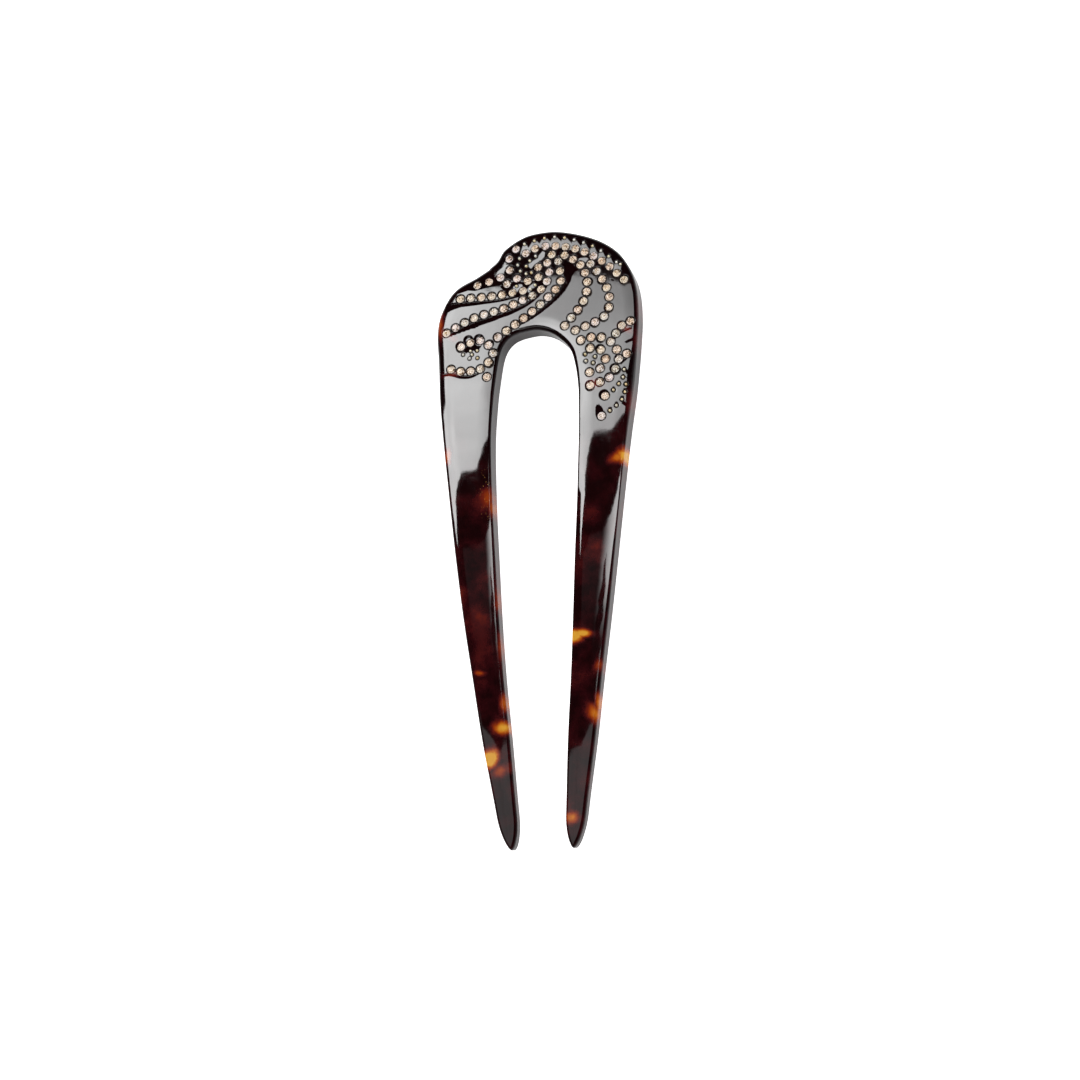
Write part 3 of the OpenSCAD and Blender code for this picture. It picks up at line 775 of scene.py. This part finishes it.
    # The walls and floors of the holes
    for base, (_, _, r, _, _, at, up) in zip(rims, seats):
        rim = [where[base + k] for k in range(RING_N)]
        depth = HOLE_DEPTH if r == STUD_R else SEAT_DEPTH
        rel = pos[rim] - at
        radial = unit(rel - np.outer(rel @ up, up))
        foot = at + radial * (r * MM) - up * (depth * MM)
        wall(rim, add(foot, -radial))
        floor_ring = add(foot, np.tile(up, (RING_N, 1)))
        centre_id, = add((at - up * depth * MM)[None], up[None])
        faces += [(floor_ring[k], floor_ring[(k + 1) % RING_N], centre_id) for k in range(RING_N)]
        normals[0][rim] -= radial * RIM_LEAN
    return mesh_piece("acetate_body", np.vstack(verts), faces, unit(np.vstack(normals)))


# A brilliant cut: the radii of its rings from the middle of the table out, in shares of the
# stone's radius, and how far the star's points lie below the table, in millimetres
STONE_R = 0.9
EYE_R, INNER_R, TABLE_R, STAR_R, STAR_DROP = 0.15, 0.34, 0.58, 0.77, 0.11
# A facet's painted light, painted into its colour as the foil behind would light it: how much the
# lit side's way differs from stone to stone; the mean painted light, the share of the side that is
# painted lighter, and what is left to chance
PAINTED_SIDE_SPREAD, MEAN_LIGHT, SIDE_LIGHT, CHANCE_LIGHT = 0.7, 0.56, 0.3, 0.34
# Layers of values on the stones' faces: one by stone, the painted light of each facet, and the
# facet's kind
STONE_LAYERS = ("stone_tone", "facet_painted_light", "facet_zone")


def brilliant():
    """Points and faces of one cut stone, its axis up and its surface point at zero."""
    pts, faces = [(0, 0, TABLE_Z)], []

    def ring(n, r, z, phase=0.0):
        base = len(pts)
        for k in range(n):
            a = (k + phase) / n * 2 * math.pi
            pts.append((r * STONE_R * math.cos(a), r * STONE_R * math.sin(a), z))
        return [base + k for k in range(n)]

    eye = ring(8, EYE_R, TABLE_Z)
    inner = ring(8, INNER_R, TABLE_Z, 0.5)
    table = ring(8, TABLE_R, TABLE_Z)
    star = ring(8, STAR_R, TABLE_Z - STAR_DROP, 0.5)
    girdle = ring(16, 1.0, GIRDLE_TOP)
    foot = ring(16, 1.0, GIRDLE_FOOT)
    tip = len(pts)
    pts.append((0, 0, TIP_Z))
    zones = []
    for k in range(8):
        m = (k + 1) % 8
        g0, g1, g2 = girdle[2 * k], girdle[2 * k + 1], girdle[2 * m]
        for zone, face in (
                (0.0, (0, eye[k], eye[m])), (0.2, (eye[k], inner[k], eye[m])),
                (0.2, (eye[k], inner[k - 1], inner[k])), (0.4, (table[k], inner[k], inner[k - 1])),
                (0.4, (table[k], table[m], inner[k])), (0.6, (table[k], star[k], table[m])),
                (0.8, (table[m], star[k], g2, star[m])), (0.8, (star[k], g1, g2)),
                (0.8, (star[k], g0, g1))):
            faces.append(face)
            zones.append(zone)
    for k in range(16):
        m = (k + 1) % 16
        faces += [(girdle[k], foot[k], foot[m], girdle[m]), (foot[k], tip, foot[m])]
        zones += [1.0, 1.0]
    return np.array(pts), faces, zones


def axis_frame(up, spin):
    """Axes of a stone whose own axis is up, turned round it by spin."""
    side = np.cross(up, (0.0, 1.0, 0.0))
    side /= norm(side)
    fwd = np.cross(up, side)
    c, s = math.cos(spin), math.sin(spin)
    return np.stack([side * c + fwd * s, fwd * c - side * s, up], -1)


def build_stones(node, rows, rng):
    """The cut stones of one node, as one object."""
    pts, faces, zones = brilliant()
    mids = np.array([pts[list(f)].mean(0) for f in faces])
    all_pts, all_faces, tone, facet = [], [], [], []
    for k, (at, up) in enumerate(rows):
        spin = rng.uniform(0, 2 * math.pi)
        m = axis_frame(up, spin)
        all_pts.append(at + (pts * MM) @ m.T)
        all_faces += [tuple(k * len(pts) + i for i in f) for f in faces]
        tone += [rng.random()] * len(faces)
        # painted light: the facets toward one side of each stone are painted lighter, as if the
        # foil behind threw its light that way
        painted_side = rng.normal(-math.pi / 2, PAINTED_SIDE_SPREAD)
        world_mid = mids @ m.T
        side = (world_mid[:, 0] * math.cos(painted_side) + world_mid[:, 1] * math.sin(painted_side)) / STONE_R
        chance = rng.normal(0, CHANCE_LIGHT, len(faces))
        facet += list(np.clip(MEAN_LIGHT + SIDE_LIGHT * side + chance, 0, 1))
    obj = mesh_piece(node + "_cut", np.vstack(all_pts), all_faces, smooth_shade=False)
    for name, values in zip(STONE_LAYERS, (tone, facet, zones * len(rows))):
        layer = obj.data.attributes.new(name, "FLOAT", "FACE")
        layer.data.foreach_set("value", np.array(values, np.float32))
    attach(obj, "root")
    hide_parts(node)
    return obj


# Finishes
def fill(tree, sockets, values):
    """Join outputs to a node's named sockets, or set plain values on them."""
    for k, v in values.items():
        if hasattr(v, "is_output"):
            tree.links.new(v, sockets[k])
        else:
            sockets[k].default_value = v


def nodes_of(tree):
    """A short way to place and join shader nodes in one tree."""
    def put(kind, inputs=None, **settings):
        n = tree.nodes.new("ShaderNode" + kind)
        for k, v in settings.items():
            setattr(n, k, v)
        fill(tree, n.inputs, inputs or {})
        return n
    return put


def calc(put, how, *terms):
    """A sum, product or the like of two or three terms."""
    return put("Math", dict(enumerate(terms)), operation=how).outputs[0]


def vector(put, how, one, other):
    return put("VectorMath", {0: one, 1: other}, operation=how).outputs[0]


def spread(put, value, start, end, low=0.0, high=1.0, soft=False):
    """value, with the range from start to end laid over the one from low to high."""
    ease = "SMOOTHSTEP" if soft else "LINEAR"
    return put("MapRange", {"Value": value, "From Min": start, "From Max": end,
                            "To Min": low, "To Max": high}, interpolation_type=ease).outputs[0]


def noise(put, where, scale, detail, roughness=0.5):
    return put("TexNoise", {"Vector": where, "Scale": scale, "Detail": detail,
                            "Roughness": roughness}).outputs["Fac"]


def ramp(put, fac, stops, ease="LINEAR"):
    """A colour for each value of fac; stops are places from 0 to 1 with their colours."""
    n = put("ValToRGB", {"Fac": fac})
    n.color_ramp.interpolation = ease
    while len(n.color_ramp.elements) < len(stops):
        n.color_ramp.elements.new(0.5)
    for e, (at, colour) in zip(n.color_ramp.elements, stops):
        e.position = at
        e.color = (*colour, 1)
    return n.outputs["Color"]


def place_mm(put):
    """The place on the object, in millimetres."""
    return put("VectorMath", {0: put("TexCoord").outputs["Object"], 3: 1 / MM},
               operation="SCALE").outputs[0]


def bumped(put, height, depth):
    """The normal of a fine relief, depth metres deep."""
    return put("Bump", {"Strength": 1.0, "Distance": depth, "Height": height}).outputs["Normal"]


def new_material(name):
    """A new material, its tree, a way to place its nodes, and its shader's inputs."""
    m = bpy.data.materials.new(name)
    m.use_nodes = True
    return m, m.node_tree, nodes_of(m.node_tree), m.node_tree.nodes["Principled BSDF"].inputs


def group(name, ins, outs):
    """A new node group's tree, a way to place its nodes, and its inputs and outputs."""
    tree = bpy.data.node_groups.new(name, "ShaderNodeTree")
    for label, value in ins.items():
        kind = "Float" if isinstance(value, float) else "Vector"
        s = tree.interface.new_socket(name=label, in_out="INPUT", socket_type="NodeSocket" + kind)
        if value is not None:
            s.default_value = value
    for label in outs:
        tree.interface.new_socket(name=label, in_out="OUTPUT", socket_type="NodeSocketFloat")
    ends = [tree.nodes.new("NodeGroup" + end) for end in ("Input", "Output")]
    return tree, nodes_of(tree), ends[0].outputs, ends[1].inputs


def make_spot_group():
    """One soft spot of amber that goes through the sheet, its rim broken by the grain."""
    tree, put, i, o = group("amber_spot", {
        "Place": None, "Grain": 0.0, "Centre": None, "Half Size": (1, 1, 1), "Turn": 0.0,
        "Depth": 1.0}, ["Mask"])
    flat = vector(put, "MULTIPLY", vector(put, "SUBTRACT", i["Place"], i["Centre"]), (1, 1, 0))
    turned = put("VectorRotate", {"Vector": flat, "Angle": i["Turn"]}, rotation_type="Z_AXIS")
    size = vector(put, "DIVIDE", turned.outputs[0], i["Half Size"])
    far = put("VectorMath", {0: size}, operation="LENGTH").outputs["Value"]
    mask = spread(put, calc(put, "ADD", far, i["Grain"]), 1.75, 0.05, soft=True)
    fill(tree, o, {"Mask": calc(put, "MULTIPLY", mask, i["Depth"])})
    return tree


def make_polish_group():
    """The hand polish: a slow wave of the surface, fine hairlines and a little haze."""
    tree, put, i, o = group("hand_polish", {
        "Place": None, "Wave Size": 0.25, "Haze": 0.02, "Base Roughness": 0.03},
        ["Height", "Roughness"])
    slow = noise(put, i["Place"], i["Wave Size"], 1.0, 0.4)
    hair = noise(put, vector(put, "MULTIPLY", i["Place"], (0.35, 5.0, 1.0)), 1.1, 3.0, 0.7)
    worn = spread(put, noise(put, i["Place"], 0.6, 4.0, 0.65), 0.45, 0.75)
    haze = calc(put, "MULTIPLY", worn, i["Haze"])
    fill(tree, o, {"Height": calc(put, "ADD", slow, calc(put, "MULTIPLY", hair, 0.035)),
                   "Roughness": calc(put, "ADD", haze, i["Base Roughness"])})
    return tree


def make_fleck_group():
    """Tiny gold flecks in the acetate, kept to one part of it."""
    tree, put, i, o = group("gold_flecks", {"Place": None, "Area": 0.0, "Fleck Scale": 3.0},
                            ["Mask"])
    cells = put("TexVoronoi", {"Vector": i["Place"], "Scale": i["Fleck Scale"],
                               "Randomness": 1.0}).outputs
    mask = spread(put, cells["Distance"], 0.30, 0.16)
    pick = put("SeparateColor", {0: cells["Color"]}).outputs[0]
    some = calc(put, "GREATER_THAN", pick, 0.62)
    band = spread(put, noise(put, i["Place"], 0.55, 2.0), 0.40, 0.50)
    for part in (some, band, i["Area"]):
        mask = calc(put, "MULTIPLY", mask, part)
    fill(tree, o, {"Mask": mask})
    return tree


def polished(put, place, depth, values):
    """The roughness and normal that the hand polish gives a shader."""
    polish = put("Group", {"Place": place, **values}, node_tree=POLISH).outputs
    return {"Roughness": polish["Roughness"], "Normal": bumped(put, polish["Height"], depth)}


# Amber spots: x and y in the flat sheet, half sizes across and along, turn in degrees, depth
AMBER = [
    (-20.1, 88, 0.8, 2, 0, 0.58), (-22.9, 119.5, 1.2, 4.2, -8, 0.56),
    (-19.6, 115.7, 1.6, 0.9, 25, 0.34), (-10.6, 77.9, 2.4, 2.3, 0, 0.44),
    (-9.6, 76, 1, 2.4, 0, 0.48), (-13, 39.1, 1.3, 0.6, 8, 0.45), (-7.9, 44.9, 0.9, 3.5, 0, 0.4),
    (-7.5, 32.1, 1.1, 2.1, 0, 0.58), (-8, 26.9, 2.4, 1.4, 0, 0.8), (-11.3, 20.2, 1.8, 2.2, 20, 1),
    (-8.9, 17.4, 2.3, 1.3, -20, 0.44), (21.1, 85.7, 2.1, 1.9, 0, 0.92),
    (19, 85.3, 2, 1.2, -12, 0.66), (8.4, 46.1, 2.2, 1.5, 0, 1.05), (10.8, 46.7, 2, 0.85, 8, 0.92),
    (14.2, 39.3, 1.2, 1.4, 0, 0.38), (12.9, 29.2, 1.6, 2.4, -25, 0.54),
    (13.9, 31.6, 0.8, 2.3, 0, 0.6), (7, 6.8, 1.6, 1.4, 0, 0.68), (14.2, 65.2, 2.2, 2.6, 0, 0.19),
    (12.9, 73.3, 2.2, 2.2, 0, 0.15), (23.6, 120.8, 0.6, 4.4, 0, 0.26),
    (23.6, 112.5, 1.2, 3.4, 0, 0.26), (13.7, 102.7, 2.2, 1.3, 15, 0.36),
    (20.9, 114.9, 2.2, 0.8, 35, 0.4), (22.3, 98, 1.3, 3.2, 0, 0.26),
    (-19.4, 107.1, 2.6, 0.8, -5, 0.38), (-12.5, 48.5, 2.4, 5.2, 0, 0.19),
    (-8.4, 54.9, 0.9, 3.2, 0, 0.42), (-17.5, 57, 1.6, 3, 0, 0.16)]
# The part of the left prong that holds the gold flecks, in the same terms, and their colour
FLECKS, FLECK_GOLD = (-10.9, 78.5, 1.6, 4.4, 0, 1.0), (0.62, 0.34, 0.08, 1)
# The height in the bent sheet at which the spots are placed
SPOT_H = 4.0
ACETATE_COLOURS = [
    (0, (0.0032, 0.0013, 0.0016)), (0.06, (0.0085, 0.0015, 0.0019)),
    (0.15, (0.022, 0.0026, 0.0036)), (0.27, (0.055, 0.006, 0.0062)), (0.42, (0.14, 0.014, 0.006)),
    (0.58, (0.3, 0.045, 0.005)), (0.76, (0.5, 0.135, 0.01)), (0.95, (0.68, 0.33, 0.035))]
STONE_COLOURS = [
    (0, (1, 0.87, 0.79)), (0.3, (0.96, 0.89, 0.76)), (0.55, (0.97, 0.9, 0.93)),
    (0.8, (0.86, 0.88, 0.84)), (1, (0.92, 0.71, 0.55))]
# painted glints: facet colours from dark to white that stand in for the sparkle of the foiled
# facets
PAINTED_GLINT_COLOURS = [
    (0.05, (0.08, 0.056, 0.038)), (0.3, (0.35, 0.295, 0.25)), (0.52, (0.84, 0.81, 0.78)),
    (0.7, (1, 1, 1))]
# painted reflections and shade by facet kind: centre (a painted bright dot), brown ring, outer
# table, star facets, kites, and girdle and pavilion (painted dark)
PAINTED_CUT_COLOURS = [
    (0, (1, 0.97, 0.88)), (0.1, (0.6, 0.38, 0.19)), (0.3, (1, 0.97, 0.92)),
    (0.5, (0.72, 0.54, 0.37)), (0.7, (1, 0.94, 0.89)), (0.9, (0.22, 0.14, 0.1))]
STUD_COLOURS = [
    (0.3, (0.92, 0.58, 0.2)), (0.46, (1, 0.88, 0.58)), (0.62, (1, 0.98, 0.92))]


def make_acetate():
    """Dark acetate with amber spots, dark-red smoke and gold flecks."""
    m, tree, put, shader = new_material("tortoiseshell_acetate")
    place = place_mm(put)
    grain = spread(put, noise(put, place, 0.55, 4.0, 0.6), 0.0, 1.0, -0.4, 0.4)
    spot = make_spot_group()

    def mask_of(x, y, half_x, half_y, turn, depth, **more):
        at = bend(x, y, SPOT_H) / MM
        return put("Group", {
            "Place": place, "Centre": (at[0], at[1], 0), "Half Size": (half_x, half_y, 1),
            "Turn": math.radians(turn), "Depth": depth, **more}, node_tree=spot).outputs["Mask"]

    masks = [mask_of(*row, Grain=grain) for row in AMBER]
    total = masks[0]
    for mask in masks[1:]:
        total = calc(put, "MAXIMUM", total, mask)
    # the smoke lies mostly in the prongs
    smoke = spread(put, noise(put, place, 0.17, 5.0, 0.6), 0.42, 0.70, 0.06, 0.25)
    high = put("SeparateXYZ", {0: place}).outputs["Y"]
    smoke = calc(put, "MULTIPLY", smoke, spread(put, high, 8.0, 34.0, 1.0, 0.22))
    colour = ramp(put, calc(put, "ADD", total, smoke), ACETATE_COLOURS)
    flecks = put("Group", {"Place": place, "Area": mask_of(*FLECKS)}, node_tree=make_fleck_group())
    mixed = put("Mix", {0: flecks.outputs["Mask"], 6: colour, 7: FLECK_GOLD}, data_type="RGBA")
    fill(tree, shader, {"Base Color": mixed.outputs[2],
                        **polished(put, place, 9e-6, {"Base Roughness": 0.028})})
    return m


def make_crystal():
    """Foiled stones: painted light in the colour, each facet painted with its own share of the
    foil's light and with a painted pattern of reflections and shade by the facet's kind.
    """
    m, tree, put, shader = new_material("champagne_crystal")
    tones = [put("Attribute", attribute_name=name).outputs["Fac"] for name in STONE_LAYERS]
    body = ramp(put, tones[0], STONE_COLOURS)
    # painted light: each facet's painted glint, then the reflections and shade painted by facet
    # kind, multiplied into the stone's tone
    painted_glint = ramp(put, tones[1], PAINTED_GLINT_COLOURS)
    cut = ramp(put, tones[2], PAINTED_CUT_COLOURS, "CONSTANT")
    for colour in (painted_glint, cut):
        body = put("Mix", {0: 1.0, 6: body, 7: colour}, data_type="RGBA",
                   blend_type="MULTIPLY").outputs[2]
    wear = noise(put, place_mm(put), 3.0, 3.0)
    fill(tree, shader, {"Base Color": body, "Roughness": spread(put, wear, 0.0, 1.0, 0.04, 0.16),
                        "Normal": bumped(put, wear, 4e-6), "IOR": 1.55, "Specular IOR Level": 0.2})
    return m


def make_stud_metal():
    """Polished studs, their gilding a little uneven."""
    m, tree, put, shader = new_material("stud_brass")
    place = place_mm(put)
    values = {"Wave Size": 3.0, "Base Roughness": 0.26, "Haze": 0.12}
    fill(tree, shader, {"Base Color": ramp(put, noise(put, place, 0.8, 3.0), STUD_COLOURS),
                        **polished(put, place, 8e-6, values), "Metallic": 0.15})
    return m


POLISH = make_polish_group()
acetate, crystal, stud_metal = make_acetate(), make_crystal(), make_stud_metal()

stones = stone_places()
studs = stud_places()
body = build_body(stones, studs)
body.data.materials.append(acetate)
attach(body, "root")
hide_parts("pin_body")
rng = np.random.default_rng(11)
for node in STONE_NODES:
    o = build_stones(node, stones[node], rng)
    o.data.materials.append(crystal)
for node in STUD_NODES:
    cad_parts[node].material_slots[0].material = stud_metal


# Floor, light and camera
def plane(name, corners, mat):
    """A flat face of the stage."""
    me = bpy.data.meshes.new(name)
    me.from_pydata(corners, [], [tuple(range(len(corners)))])
    o = bpy.data.objects.new(name, me)
    bpy.context.scene.collection.objects.link(o)
    me.materials.append(mat)
    return o


# The floor's own light, as the camera, the polish and all else see it
SEEN_FLOOR, MIRRORED_FLOOR, LIGHTING_FLOOR = 1.1, 0.30, 0.62
floor_mat, tree, put, shader = new_material("floor_white")
ray = put("LightPath").outputs
mirrored = spread(put, ray["Is Glossy Ray"], 0.0, 1.0, LIGHTING_FLOOR, MIRRORED_FLOOR)
seen = spread(put, ray["Is Camera Ray"], 0.0, 1.0, mirrored, SEEN_FLOOR)
fill(tree, shader, {"Base Color": (0.92, 0.92, 0.92, 1), "Roughness": 0.9,
                    "Specular IOR Level": 0.0, "Emission Color": (1, 1, 1, 1),
                    "Emission Strength": seen})
plane("floor", [(-4, -4, 0), (4, -4, 0), (4, 4, 0), (-4, 4, 0)], floor_mat)


def glow(name, strength, across=None, along=None, dim=None):
    """A light's face. across and along: from and to in metres, and the share of the strength
    at each; dim: two such ranges, over x and over y, and how much is taken away past both."""
    m = bpy.data.materials.new(name)
    m.use_nodes = True
    t = m.node_tree
    t.nodes.clear()
    put = nodes_of(t)
    where = put("TexCoord").outputs["Object"]
    sep = put("SeparateXYZ", {0: where}).outputs
    # the cloth of the light is a little uneven
    cloth = noise(put, where, 11.0, 2.0, 0.55)
    value = spread(put, cloth, 0.3, 0.7, 0.9 * strength, 1.1 * strength)
    for axis, way in (("X", across), ("Y", along)):
        if way:
            value = calc(put, "MULTIPLY", value, spread(put, sep[axis], *way, soft=True))
    if dim:
        over_x, over_y, less = dim
        both = calc(put, "MULTIPLY", spread(put, sep["X"], *over_x, 0.0, 1.0, soft=True),
                    spread(put, sep["Y"], *over_y, 0.0, less, soft=True))
        value = calc(put, "MULTIPLY", value, calc(put, "SUBTRACT", 1.0, both))
    lit = put("Emission", {"Strength": value}).outputs[0]
    put("OutputMaterial", {0: lit})
    return m


# The light cards lie one just under the other over the pin; x and y of their corners in metres
CARD_Z, CARD_GAP = 1.2, 0.003
SOFTBOX = [
    (0, 0.75), (-0.24, 0.75), (-0.284, 0.735), (-0.317, 0.736), (-0.326, 0.744), (-0.333, 0.757),
    (-0.346, 0.765), (-0.355, 0.757), (-0.385, 0.743), (-0.4, 0.748), (-0.43, 0.79),
    (-0.445, 0.84), (-0.475, 0.87), (-0.525, 0.86), (-0.525, 0.5), (-0.57, 0.47), (-0.57, 0.31),
    (-0.548, 0.24), (-0.527, 0.19), (-0.521, 0.208), (-0.511, 0.231), (-0.5, 0.262),
    (-0.47, 0.293), (-0.426, 0.314), (-0.39, 0.327), (-0.374, 0.336), (-0.355, 0.351),
    (-0.335, 0.373), (-0.318, 0.393), (-0.302, 0.406), (-0.29, 0.411), (-0.25, 0.418),
    (-0.2, 0.43), (-0.14, 0.452), (-0.08, 0.485), (-0.03, 0.53), (0, 0.62)]
WEDGE = [
    (-0.1, 0.36), (-0.165, 0.34), (-0.178, 0.31), (-0.188, 0.28), (-0.2, 0.255), (-0.224, 0.228),
    (-0.264, 0.212), (-0.295, 0.2), (-0.36, 0.19), (-0.45, 0.185), (-0.45, 0), (-0.1, 0)]
EDGE_LINE = [
    (-0.13, 0), (-0.205, 0), (-0.2, -0.13), (-0.13, -0.13)]
STAND = [
    (-0.228, 0.158), (-0.242, 0.135), (-0.238, 0.115), (-0.262, 0.085), (-0.252, 0.07),
    (-0.272, 0.05), (-0.258, 0.03), (-0.268, 0.008), (-0.244, -0.012), (-0.214, 0.012),
    (-0.224, 0.034), (-0.208, 0.055), (-0.218, 0.075), (-0.21, 0.1), (-0.222, 0.13)]
TIP_PANEL = [
    (-0.1, -0.098), (-0.231, -0.1), (-0.257, -0.107), (-0.281, -0.117), (-0.371, -0.111),
    (-0.474, -0.106), (-0.608, -0.103), (-0.95, -0.103), (-0.95, -0.62), (-0.1, -0.62)]
CARDS = [
    ("softbox", SOFTBOX, 13.5, (-0.43, -0.22, 1, 0.5), None,
     ((-0.42, -0.345), (0.55, 0.72), 0.42)),
    ("wedge_light", WEDGE, 11, (-0.285, -0.178, 0.012, 1), (0, 0.14, 0, 1)),
    ("edge_light", EDGE_LINE, 5, None, (-0.13, -0.05, 0, 1)),
    ("light_stand", STAND, 0.02), ("tip_panel", TIP_PANEL, 0.9)]
for k, (name, outline, *light) in enumerate(CARDS):
    corners = [(x, y, CARD_Z - CARD_GAP * k) for x, y in outline]
    plane(name, corners, glow(name + "_glow", *light)).visible_camera = False

world = bpy.data.worlds.new("studio")
bpy.context.scene.world = world
world.use_nodes = True
put = nodes_of(world.node_tree)
# What shines in the polish is dark overhead and pale only low down, to the right and in front
LOW_LIGHT, ROOM_LIGHT = 0.30, 0.7
way = put("SeparateXYZ", {0: put("TexCoord").outputs["Generated"]}).outputs
low = spread(put, way["Z"], 0.30, 0.62, LOW_LIGHT, 0.0, soft=True)
aside = calc(put, "MULTIPLY_ADD", way["Y"], -0.66, calc(put, "MULTIPLY", way["X"], 0.75))
low = calc(put, "MULTIPLY", low, spread(put, aside, -0.15, 0.35, soft=True))
shine = put("LightPath").outputs["Is Glossy Ray"]
mix = put("Mix", {0: shine, 2: ROOM_LIGHT, 3: low}, data_type="FLOAT").outputs[0]
fill(world.node_tree, world.node_tree.nodes["Background"].inputs,
     {"Color": (1, 1, 1, 1), "Strength": mix})

# The camera looks from a little to the right of and below the upright over the pin
CAM_RIGHT, CAM_BELOW, CAM_AWAY = math.radians(15.5), math.radians(13.0), 0.9
CAM_TARGET = (0.35, -1.5, 6.0)
cam_data = bpy.data.cameras.new("camera")
cam = bpy.data.objects.new("camera", cam_data)
bpy.context.scene.collection.objects.link(cam)
cam_data.sensor_width = 36.0
cam_data.lens = 135.0
cam_data.clip_start, cam_data.clip_end = 0.05, 20.0
back = Vector((math.tan(CAM_RIGHT), -math.tan(CAM_BELOW), 1.0)).normalized()
right = Vector((back.z, 0, -back.x)).normalized()
up = back.cross(right)
spot = Vector(CAM_TARGET) * MM + back * CAM_AWAY
cam.matrix_world = Matrix(((right.x, up.x, back.x, spot.x), (right.y, up.y, back.y, spot.y),
                           (right.z, up.z, back.z, spot.z), (0, 0, 0, 1)))
bpy.context.scene.camera = cam
bpy.context.scene.view_settings.view_transform = "Standard"
